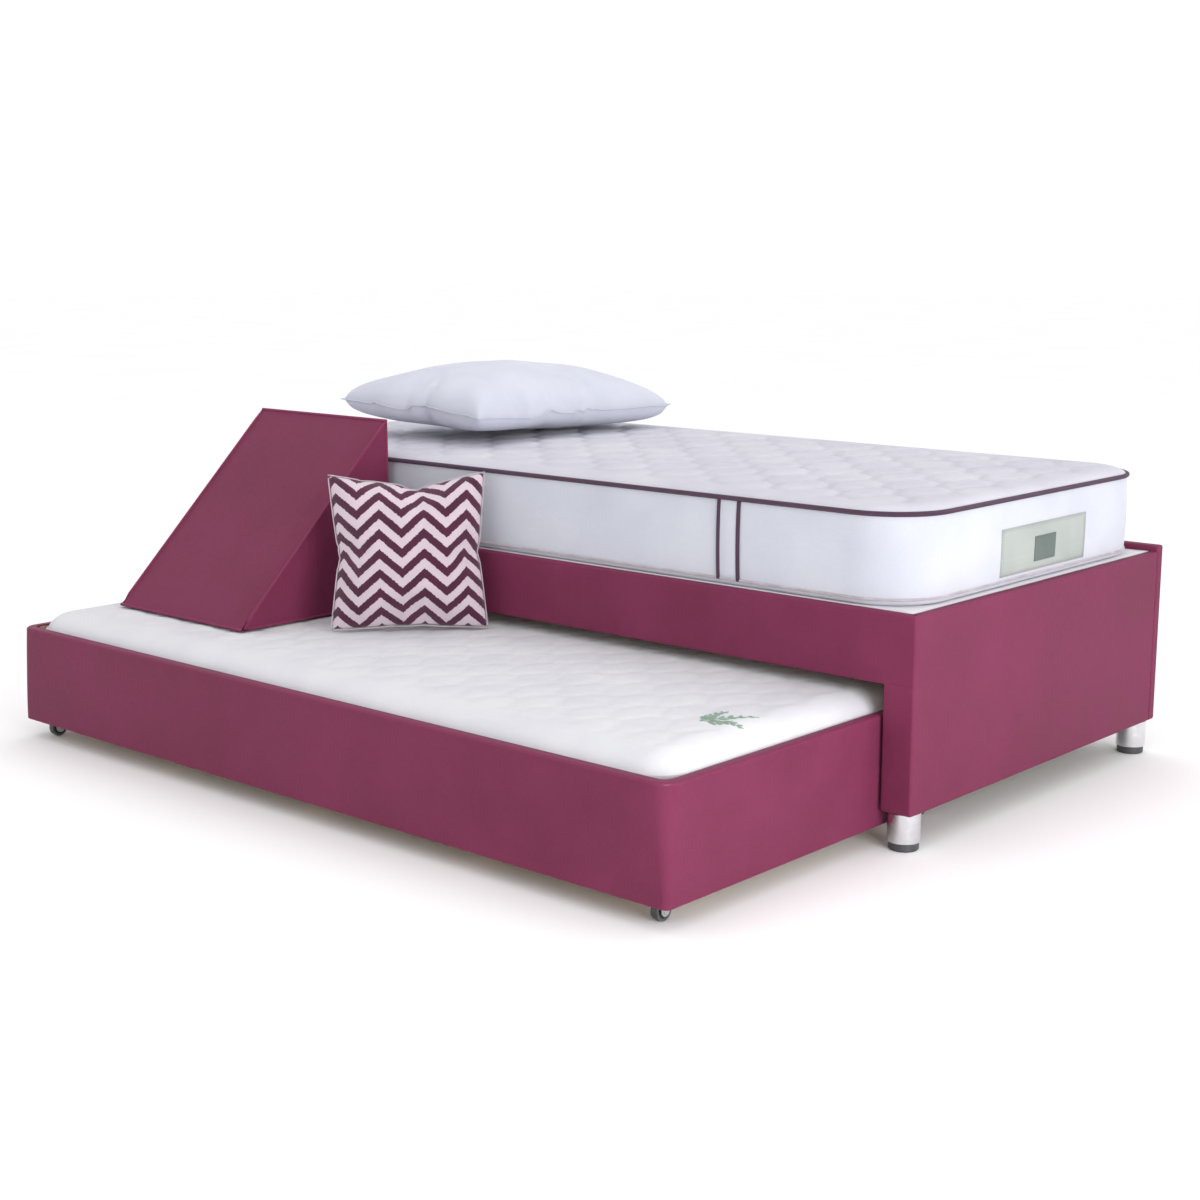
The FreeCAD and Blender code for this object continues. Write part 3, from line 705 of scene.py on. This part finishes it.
def wall_section(thick, bottom, top):
    """The rounded section of an upholstered board: (distance behind the face, height)."""
    section = []
    for deep, side, radius, start in ((False, bottom, TRUNDLE_ROUND, 180), (True, bottom, 0.001, 270),
                                      (True, top, 0.001, 0), (False, top, TRUNDLE_ROUND, 90)):
        a0 = thick - radius if deep else radius
        z0 = side + (radius if side == bottom else -radius)
        turns = [math.radians(start + 90 * i / 4) for i in range(5)]
        section += [(a0 + math.cos(turn) * radius, z0 + math.sin(turn) * radius) for turn in turns]
    flat = (bottom - top + 2 * TRUNDLE_ROUND) / 11
    return section + [(0.0, top - TRUNDLE_ROUND + flat * i) for i in range(1, 11)]


# ---- mattresses

RIM_CORD = 0.0047
FOOT_CORD = 0.0026
FOOT_CORD_RISE = 0.012

# A mattress's corner, its rim's drop from the top, its shoulder's width, and its quilting's cell and depth
BED_SHAPE = (0.12, 0.016, 0.05, 0.15, 0.0055)
TRUNDLE_SHAPE = (0.06, 0.042, 0.075, 0.12, 0.006)

STRAP_X = 0.554
STRAP_HALF = 0.023
STRAP_ROWS = 14
STRAP_SECTION = ((-1, 0), (-0.8, 0.0014), (0, 0.0020), (0.8, 0.0014), (1, 0), (0, -0.0015))
STRAP_CORD = 0.0045

LABEL_ROWS = 24
LABEL_COLUMNS = 10
STITCH_INSET = 0.004
STITCH_PITCH = 0.006
STITCH_SHARE = 0.62
STITCH_PROUD = 0.0018

SPRIG_FROM_FOOT = 0.105
SPRIG_FROM_FRONT = 0.215
# Each stem's turn in degrees and its reach
STEMS = ((-38, 0.075), (0, 0.105), (34, 0.080))
STEM_STEPS = 12
STEM_BEND = 0.10
LEAF_LENGTH = 0.026
SATIN_PITCH = 0.0021


def mattress_piece(node, body, slot, shape, wall, top, piping, seed):
    """A quilted mattress with a cord sewn round its rim and a paler one round its foot."""
    low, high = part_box(node)
    corner, rim_drop = shape[:2]
    piece = make_piece(node + "_ticking", mattress_skin(low, high, *shape, seed), wall, body, slot, node)
    piece.data.materials.append(top)
    rim = high.z - rim_drop
    for polygon in piece.data.polygons:
        if polygon.center.z > rim + 0.0004:
            polygon.material_index = 1
    for place, z, radius, material in (("rim", rim, RIM_CORD, piping),
                                       ("foot", low.z + FOOT_CORD_RISE, FOOT_CORD, PALE_PIPING)):
        path = rim_path(low, high, corner, z, WALL_TUCK - 0.0015)
        make_piece("%s_ticking_%s_piping" % (node, place), tube(path, radius, True), material, body, slot)
    return piece, rim


def bed_mattress():
    """The divan's mattress: dark piping, two piped straps on each long side and a sewn label."""
    low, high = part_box("bed_mattress")
    _, rim = mattress_piece("bed_mattress", "bed_mattress", "mattress_ticking", BED_SHAPE,
                            TICKING, TICKING_TOP, PIPING, 20.0)
    for side, y, out in (("front", low.y, -1), ("rear", high.y, 1)):
        for end, way in ENDS:
            strap("%s_%s_strap" % (side, end), way * STRAP_X, y, out, low.z, rim)
    label(low, high, rim)


def strap(name, x, y, out, low_z, rim):
    """A flat upright strap with a dark cord down each edge, lying on the mattress wall."""
    levels = [low_z + 0.010 + (rim - low_z - 0.012) * i / STRAP_ROWS for i in range(STRAP_ROWS + 1)]
    wall = [(z, y + out * wall_grow(z, low_z, rim)) for z in levels]
    verts = [Vector((x + dx * STRAP_HALF, face + out * (dy + 0.0006), z)) for z, face in wall
             for dx, dy in STRAP_SECTION]
    make_piece(name, (verts, ring_faces(len(levels), len(STRAP_SECTION))), TICKING,
               "bed_mattress", "mattress_ticking")
    for edge, side in (("left", -1), ("right", 1)):
        path = [Vector((x + side * STRAP_HALF, face + out * 0.0014, z)) for z, face in wall]
        make_piece("%s_%s_cord" % (name, edge), tube(path, STRAP_CORD, flat=0.6), PIPING,
                   "bed_mattress", "mattress_ticking")


def label(low, high, rim):
    """A plain woven patch on the foot end, sewn round its edge, with a plain darker panel in its middle."""
    def on_wall(y, z, proud):
        return Vector((high.x + wall_grow(z, low.z, rim) + proud, y, z))

    def patch(name, y0, y1, z0, z1, proud, thick, material, *nodes):
        verts = [on_wall(y0 + (y1 - y0) * i / LABEL_ROWS, z0 + (z1 - z0) * j / LABEL_COLUMNS, layer)
                 for layer in (proud - thick, proud)
                 for i in range(LABEL_ROWS + 1) for j in range(LABEL_COLUMNS + 1)]
        across = LABEL_COLUMNS + 1
        layer = across * (LABEL_ROWS + 1)
        faces = grid_faces(LABEL_ROWS, LABEL_COLUMNS) + grid_faces(LABEL_ROWS, LABEL_COLUMNS, layer)
        border = [i * across for i in range(LABEL_ROWS)] + list(range(layer - across, layer - 1))
        border += [i * across + LABEL_COLUMNS for i in range(LABEL_ROWS, 0, -1)]
        border += list(range(LABEL_COLUMNS, 0, -1))
        faces += [[a, b, b + layer, a + layer] for a, b in zip(border, border[1:] + border[:1])]
        make_piece(name, (verts, faces), material, "bed_mattress", "label_cloth", *nodes)

    (_, y0, z0), (_, y1, z1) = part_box("mattress_label")
    middle = (y0 + y1) / 2
    patch("label_patch", y0, y1, z0, z1, 0.0016, 0.0022, LABEL_CLOTH, "mattress_label")
    patch("label_panel", middle - 0.038, middle + 0.042, z0 + 0.016, z1 - 0.026, 0.0024, 0.0016, LABEL_MARK)
    y0, y1, z0, z1 = y0 + STITCH_INSET, y1 - STITCH_INSET, z0 + STITCH_INSET, z1 - STITCH_INSET
    corners = [on_wall(y, z, STITCH_PROUD) for y, z in ((y0, z0), (y1, z0), (y1, z1), (y0, z1), (y0, z0))]
    parts = []
    for a, b in zip(corners, corners[1:]):
        count = round((b - a).length / STITCH_PITCH)
        for i in range(count):
            ends = [a.lerp(b, (i + share) / count) for share in (0, STITCH_SHARE)]
            parts.append(tube([on_wall(end.y, end.z, STITCH_PROUD) for end in ends], 0.0005, sides=5))
    make_piece("label_stitching", join_parts(parts), PALE_PIPING, "bed_mattress", "label_cloth")


def trundle_mattress():
    """The drawer's mattress, with pale piping and a small embroidered spray of leaves."""
    low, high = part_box("trundle_mattress")
    piece, _ = mattress_piece("trundle_mattress", "trundle", "trundle_ticking", TRUNDLE_SHAPE,
                              TRUNDLE_TICKING, TRUNDLE_TICKING, PALE_PIPING, 40.0)
    sprig(piece, Vector((high.x - SPRIG_FROM_FOOT, low.y + SPRIG_FROM_FRONT, 0)))


def sprig(mattress, at):
    """A generic embroidered spray: three curved stems with pairs of satin-stitched leaves."""
    parts = []
    for turn, reach in STEMS:
        heading = math.radians(58 + turn)
        along = Vector((math.cos(heading), math.sin(heading), 0))
        across = Vector((-along.y, along.x, 0))
        stem = []
        for i in range(STEM_STEPS + 1):
            share = i / STEM_STEPS
            stem.append(at + reach * (along * share + across * STEM_BEND * math.sin(math.pi * share)))
        parts.append(tube(stem, 0.0012, sides=6))
        for i in range(2, STEM_STEPS, 2):
            for side in (-1, 1):
                parts += leaf(stem[i], (along + side * 0.8 * across).normalized(), LEAF_LENGTH * (1 - i / 18))
    verts, faces = join_parts(parts)
    skin = mattress.data
    surface = BVHTree.FromPolygons([v.co for v in skin.vertices], [p.vertices for p in skin.polygons])
    for vert in verts:
        vert.z += surface.ray_cast(Vector((vert.x, vert.y, 1)), Vector((0, 0, -1)))[0].z
    make_piece("sprig_embroidery", (verts, faces), SPRIG_GREEN, "trundle", "trundle_ticking")


def leaf(root, out, length):
    """A leaf of satin stitches, each laid across it, wider in its middle."""
    across = Vector((-out.y, out.x, 0))
    rows = round(length / SATIN_PITCH)
    parts = []
    for i in range(rows):
        middle = root + out * length * i / rows
        half = across * 0.19 * length * math.sin(math.pi * (i + 0.6) / (rows + 1))
        parts.append(tube([middle - half, middle + half], 0.0011, sides=5))
    return parts


# ---- pillow and cushion

# How the cloth of a bag behaves while it is filled
BAG_CLOTH = {"quality": 6, "mass": 0.15, "tension_stiffness": 30, "compression_stiffness": 12,
             "shear_stiffness": 8, "bending_stiffness": 0.15, "air_damping": 2, "use_pressure": True}
PUFF = 0.006

# How much larger than the filled piece its flat cloth is, the cloth's squares, and its filling
PILLOW_CLOTH = (1.12, 1.10)
PILLOW_SQUARE = 0.0125
PILLOW_PRESSURE = 4.2
PILLOW_FRAMES = 24
PILLOW_PLUMP = 0.99
PILLOW_FULLNESS = (0.5, 0.58)
PILLOW_SEAM_DROP = 0.018
PILLOW_TILT = 0.030
PILLOW_CLEAR = 0.0008

CUSHION_CLOTH = 1.12
CUSHION_SQUARE = 0.0092
CUSHION_PRESSURE = 5.0
CUSHION_FRAMES = 22
CUSHION_SIDE = 0.319
CUSHION_THICK = 0.100
CUSHION_LEAN = 9.0
CUSHION_TURN = 48.0


def sewn_bag(name, width, length, square, material):
    """Two flat sheets sewn together round their edges, with their flat places kept on the points."""
    nx, ny = round(width / square), round(length / square)
    verts = []
    flats = []
    index = {}

    def point(layer, i, j):
        return index.get((layer, i, j), index.get((0, i, j)))

    for layer in (1, -1):
        for i in range(nx + 1):
            for j in range(ny + 1):
                rim = i in (0, nx) or j in (0, ny)
                key = (0 if rim else layer, i, j)
                if key in index:
                    continue
                index[key] = len(verts)
                u, v = i / nx, j / ny
                lift = 0.0 if rim else PUFF * layer * min(1, 8 * u * (1 - u)) * min(1, 8 * v * (1 - v))
                verts.append(Vector(((u - 0.5) * width, (v - 0.5) * length, lift)))
                flats.append((u, v, 0.0))
    faces = []
    for layer in (1, -1):
        for i in range(nx):
            for j in range(ny):
                loop = [point(layer, i + di, j + dj) for di, dj in ((0, 0), (1, 0), (1, 1), (0, 1))]
                faces.append(loop if layer > 0 else loop[::-1])
    bag = add_mesh(name, verts, faces, material)
    flat = bag.data.attributes.new(FLAT, "FLOAT_VECTOR", "POINT")
    for item, value in zip(flat.data, flats):
        item.vector = value
    smooth_faces(bag)
    return bag


def flat_place(bag, vert):
    """A point's two places on the flat cloth, from 0 to 1."""
    return bag.data.attributes[FLAT].data[vert.index].vector.xy


def fill_bag(bag, pressure, frames, seed):
    cloth = bag.modifiers.new("fill", "CLOTH")
    for key, value in BAG_CLOTH.items():
        setattr(cloth.settings, key, value)
    cloth.settings.uniform_pressure_force = pressure
    cloth.settings.effector_weights.gravity = 0
    cloth.collision_settings.use_collision = False
    for vert in bag.data.vertices:
        vert.co += Vector((0, 0, 1)) * 0.0012 * noise.noise(vert.co * 14 + Vector((seed, 0, 0)))
    scene = bpy.context.scene
    cloth.point_cache.frame_start = 1
    cloth.point_cache.frame_end = frames
    for at in range(1, frames + 1):
        scene.frame_set(at)
    bpy.context.view_layer.update()
    filled = bag.evaluated_get(bpy.context.evaluated_depsgraph_get())
    for vert, done in zip(bag.data.vertices, filled.to_mesh().vertices):
        vert.co = done.co
    filled.to_mesh_clear()
    bag.modifiers.remove(cloth)
    scene.frame_set(1)


def fit_bag(bag, size, keep_x, keep_y_low, keep_y_high, fullness):
    """Scales a filled bag to a size, keeping a share of how far its sides were drawn in, and fills out its
    edges: fullness is a power for its lower and its upper half."""
    for axis in range(3):
        values = [vert.co[axis] for vert in bag.data.vertices]
        low, high = min(values), max(values)
        for vert in bag.data.vertices:
            vert.co[axis] = (vert.co[axis] - (low + high) / 2) * size[axis] / (high - low)
    for vert in bag.data.vertices:
        u, v = flat_place(bag, vert)
        flat_x, flat_y = (u - 0.5) * size[0], (v - 0.5) * size[1]
        vert.co.x = flat_x + (vert.co.x - flat_x) * keep_x
        vert.co.y = flat_y + (vert.co.y - flat_y) * (keep_y_low + (keep_y_high - keep_y_low) * v)
        share = min(1.0, abs(vert.co.z) / (size[2] / 2))
        vert.co.z = math.copysign(share ** fullness[vert.co.z > 0] * size[2] / 2, vert.co.z)


def finish_bag(bag, slot, node, seam, material, radius):
    """Subdivides a filled bag, settles it on its body and sews a thin cord along its seam."""
    smooth = bag.modifiers.new("smooth", "SUBSURF")
    smooth.levels = smooth.render_levels = 1
    settle(bag, node, slot, node)
    edge = []
    for vert in bag.data.vertices:
        u, v = flat_place(bag, vert)
        if min(u, v) < 1e-6 or max(u, v) > 1 - 1e-6:
            edge.append((math.atan2(v - 0.5, u - 0.5), vert.index))
    path = [bag.data.vertices[index].co.copy() for _, index in sorted(edge)]
    make_piece(seam, tube(path, radius, True, sides=6), material, node, slot)


def pillow():
    """The bed pillow, plump and lying across the mattress, flattened where it rests."""
    low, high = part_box("pillow")
    size = high - low
    width, length = size.x * PILLOW_CLOTH[0], size.y * PILLOW_CLOTH[1]
    bag = sewn_bag("pillow_case", width, length, PILLOW_SQUARE, PILLOW_COTTON)
    fill_bag(bag, PILLOW_PRESSURE, PILLOW_FRAMES, 60.0)
    fit_bag(bag, (size.x, size.y, size.z * PILLOW_PLUMP), 0.35, 0.35, 0.35, PILLOW_FULLNESS)
    base = -size.z / 2
    for vert in bag.data.vertices:
        vert.co.z -= PILLOW_SEAM_DROP * (1 - min(1, abs(vert.co.z / base)))
        if vert.co.z < base * 0.55:
            depth = base * 0.55 - vert.co.z
            vert.co.z = base * 0.55 - depth * 0.72
        vert.co.z = max(vert.co.z - size.z * 0.02, base + PILLOW_CLEAR)
        vert.co.z += 0.004 * noise.noise(vert.co * 7 + Vector((3.0, 0, 0)))
        vert.co.z -= PILLOW_TILT * (vert.co.x + vert.co.y)
        vert.co.z = max(vert.co.z, base + PILLOW_CLEAR)
    for vert in bag.data.vertices:
        vert.co += (low + high) / 2
    finish_bag(bag, "pillow_cotton", "pillow", "pillow_seam", PILLOW_COTTON, 0.0014)


def scatter_cushion():
    """The square cushion, filled flat and then stood up, leaning back with one corner on the divan."""
    low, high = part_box("scatter_cushion")
    side = CUSHION_SIDE * CUSHION_CLOTH
    bag = sewn_bag("cushion_cover", side, side, CUSHION_SQUARE, CHEVRON)
    fill_bag(bag, CUSHION_PRESSURE, CUSHION_FRAMES, 80.0)
    fit_bag(bag, (CUSHION_SIDE, CUSHION_SIDE, CUSHION_THICK), 0.30, 0.15, 0.62, (0.9, 0.9))
    lean = math.radians(90 - CUSHION_LEAN)
    turn = math.radians(CUSHION_TURN)
    centre = (low + high) / 2
    for vert in bag.data.vertices:
        x, y, z = vert.co
        y, z = y * math.cos(lean) - z * math.sin(lean), y * math.sin(lean) + z * math.cos(lean)
        x, y = x * math.cos(turn) - y * math.sin(turn), x * math.sin(turn) + y * math.cos(turn)
        vert.co = centre + Vector((x, y, z))
        vert.co.z = max(vert.co.z, low.z + 0.0005)
    finish_bag(bag, "chevron_cloth", "scatter_cushion", "cushion_seam", PALE_PIPING, 0.0013)


# ---- wedge

WEDGE_INSET = 0.002
WEDGE_FADE = 0.05
WEDGE_SWELL = 0.003
WEDGE_ROWS = 26
WELT = 0.0032
WELT_STEP = 0.03


def wedge_point(x, y, z, out, edge):
    """A point of the wedge's skin, padded out by its distance from the nearest edge."""
    point = Vector((x, y, z))
    swell = min(1.0, max(0.0, edge) / WEDGE_FADE)
    push = WEDGE_SWELL * (swell * (2 - swell)) + crease(point, 0.13, 0.0012, 70.0) * swell
    return point + out * push * swell * 0.9


def wedge_face(x0, x1, first, second, out):
    """One of the wedge's three long faces, between two of its edges; the one underneath stays flat."""
    run = Vector((0, second[0] - first[0], second[1] - first[1]))
    verts = []
    for i in range(WEDGE_ROWS + 1):
        for j in range(WEDGE_ROWS + 1):
            t, s = i / WEDGE_ROWS, j / WEDGE_ROWS
            edge = 0.0 if out.z < -0.5 else min(min(t, 1 - t) * run.length, min(s, 1 - s) * (x1 - x0))
            x, y, z = x0 + (x1 - x0) * s, first[0] + run.y * t, first[1] + run.z * t
            verts.append(wedge_point(x, y, z, out, edge))
    return verts, grid_faces(WEDGE_ROWS, WEDGE_ROWS)


def wedge_end(x, toe, heel, peak, out):
    """One of the wedge's two triangular ends."""
    verts = []
    index = {}
    for i in range(WEDGE_ROWS + 1):
        for j in range(WEDGE_ROWS + 1 - i):
            k = WEDGE_ROWS - i - j
            y, z = [(toe[axis] * i + heel[axis] * j + peak[axis] * k) / WEDGE_ROWS for axis in (0, 1)]
            index[i, j] = len(verts)
            verts.append(wedge_point(x, y, z, out, min(i, j, k) / WEDGE_ROWS * 0.3))
    faces = []
    for i in range(WEDGE_ROWS):
        for j in range(WEDGE_ROWS - i):
            faces.append([index[i, j], index[i + 1, j], index[i, j + 1]])
            if j < WEDGE_ROWS - i - 1:
                faces.append([index[i + 1, j], index[i + 1, j + 1], index[i, j + 1]])
    return verts, faces


def wedge_bolster():
    """The foam wedge: three padded faces, two triangular ends, and a fine welt along every edge."""
    low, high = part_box("wedge_bolster")
    low += Vector((WEDGE_INSET, WEDGE_INSET, 0.0006))
    high -= Vector((WEDGE_INSET, WEDGE_INSET * 0.2, WEDGE_INSET))
    toe, heel, peak = (low.y, low.z), (high.y, low.z), (high.y, high.z)
    slope = Vector((0, peak[0] - toe[0], peak[1] - toe[1])).normalized()
    parts = [wedge_face(low.x, high.x, toe, peak, Vector((0, -slope.z, slope.y))),
             wedge_face(low.x, high.x, peak, heel, Vector((0, 1, 0))),
             wedge_face(low.x, high.x, heel, toe, Vector((0, 0, -1))),
             wedge_end(low.x, toe, heel, peak, Vector((-1, 0, 0))),
             wedge_end(high.x, toe, heel, peak, Vector((1, 0, 0)))]
    piece = make_piece("wedge_cover", join_parts(parts), PLUM, "wedge_bolster", "upholstery", "wedge_bolster")
    bevel = piece.modifiers.new("soft edge", "BEVEL")
    bevel.width = 0.004
    bevel.segments = 3
    bevel.limit_method = "ANGLE"
    bevel.angle_limit = math.radians(40)
    toe = (toe[0] + slope.y * WELT / slope.z, toe[1] + WELT)
    peak = (peak[0] - WELT, peak[1] - slope.z * WELT / slope.y)
    heel = (heel[0] - WELT, heel[1] + WELT)
    welts = []
    for x in (low.x + 0.0015, high.x - 0.0015):
        corners = [Vector((x, y, z)) for y, z in (toe, peak, heel, toe)]
        welts.append(tube(evenly(corners, WELT_STEP)[:-1], WELT, True))
    for y, z in (toe, peak, heel):
        welts.append(tube(evenly([Vector((low.x, y, z)), Vector((high.x, y, z))], WELT_STEP), WELT))
    make_piece("wedge_welt", join_parts(welts), PLUM, "wedge_bolster", "upholstery")


# ---- carried-over CAD pieces

# The material of a CAD piece, by how its name starts; the first that fits holds
CAD_MATERIALS = (
    (CHROME, ("foot_cup",)),
    (FOOT_BLACK, ("foot_pad",)),
    (RUBBER, ("trundle_bumpers",)),
    (WHEEL_NYLON, ("caster_wheel",)),
    (ZINC, ("caster_", "bearer_brackets", "deck_screws", "foot_bolts")),
    (PINE_Z, ("corner_post",)),
    (PINE_Y, ("deck_bearer", "head_ledger", "foot_ledger", "trundle_battens")),
    (PINE_X, ("rear_ledger", "front_beam")),
    (PLY, ("deck_board", "fascia_board", "front_stile", "head_end_board", "foot_end_board", "back_board",
           "trundle_")))


def finish_cad_pieces():
    """Gives every CAD piece that stays its finished material."""
    for name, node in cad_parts.items():
        material = next((material for material, starts in CAD_MATERIALS if name.startswith(starts)), None)
        if material:
            node.data.materials.clear()
            node.data.materials.append(material)


# ---- stage, light and camera

FLOOR_HALF = 30
WORLD_STRENGTH = 1.05
LAMP_AIM = Vector((0, 0, 0.3))
# Each lamp's name, place, size and power
LAMPS = (("key", (4.2, -1.5, 1.0), 2.2, 105), ("top", (-0.5, 0.8, 4.5), 3.0, 25))
EYE = (2.694, -2.911, 1.067)
EYE_DOWN = 10.83
EYE_TURN = 41.8
LENS = 56.8


def stage_and_light():
    """A pale floor, a white surround and soft square lamps that face the bed."""
    dye = Dye("pale_floor")
    base = dye.ramp(dye.speckle(1.5), 0.3, 0.7, (0.94, 0.94, 0.945), (0.96, 0.96, 0.965))
    material = dye.finish(base, 0.9, Specular_IOR_Level=0.1)
    corners = [(x * FLOOR_HALF, y * FLOOR_HALF, 0) for x, y in ((-1, -1), (1, -1), (1, 1), (-1, 1))]
    add_mesh("studio_floor", corners, [(0, 1, 2, 3)], material)
    world = bpy.data.worlds.new("studio_world")
    world.use_nodes = True
    world.node_tree.nodes["Background"].inputs["Color"].default_value = (1.0, 1.0, 1.0, 1)
    world.node_tree.nodes["Background"].inputs["Strength"].default_value = WORLD_STRENGTH
    bpy.context.scene.world = world
    for name, spot, size, power in LAMPS:
        data = bpy.data.lights.new(name, "AREA")
        data.energy = power
        data.size = size
        light = add_object(name, data)
        light.location = spot
        light.rotation_euler = (LAMP_AIM - Vector(spot)).to_track_quat("-Z", "Y").to_euler()


def camera():
    """The camera in front of the foot end, a little above the bed."""
    data = bpy.data.cameras.new("camera")
    data.lens = LENS
    data.sensor_width = 36
    eye = add_object("camera", data)
    eye.location = EYE
    eye.rotation_euler = (math.radians(90 - EYE_DOWN), 0, math.radians(EYE_TURN))
    bpy.context.scene.camera = eye
    bpy.context.scene.view_settings.view_transform = "Standard"


divan_upholstery()
deck_lining()
trundle_upholstery()
bed_mattress()
trundle_mattress()
pillow()
scatter_cushion()
wedge_bolster()
finish_cad_pieces()
stage_and_light()
camera()
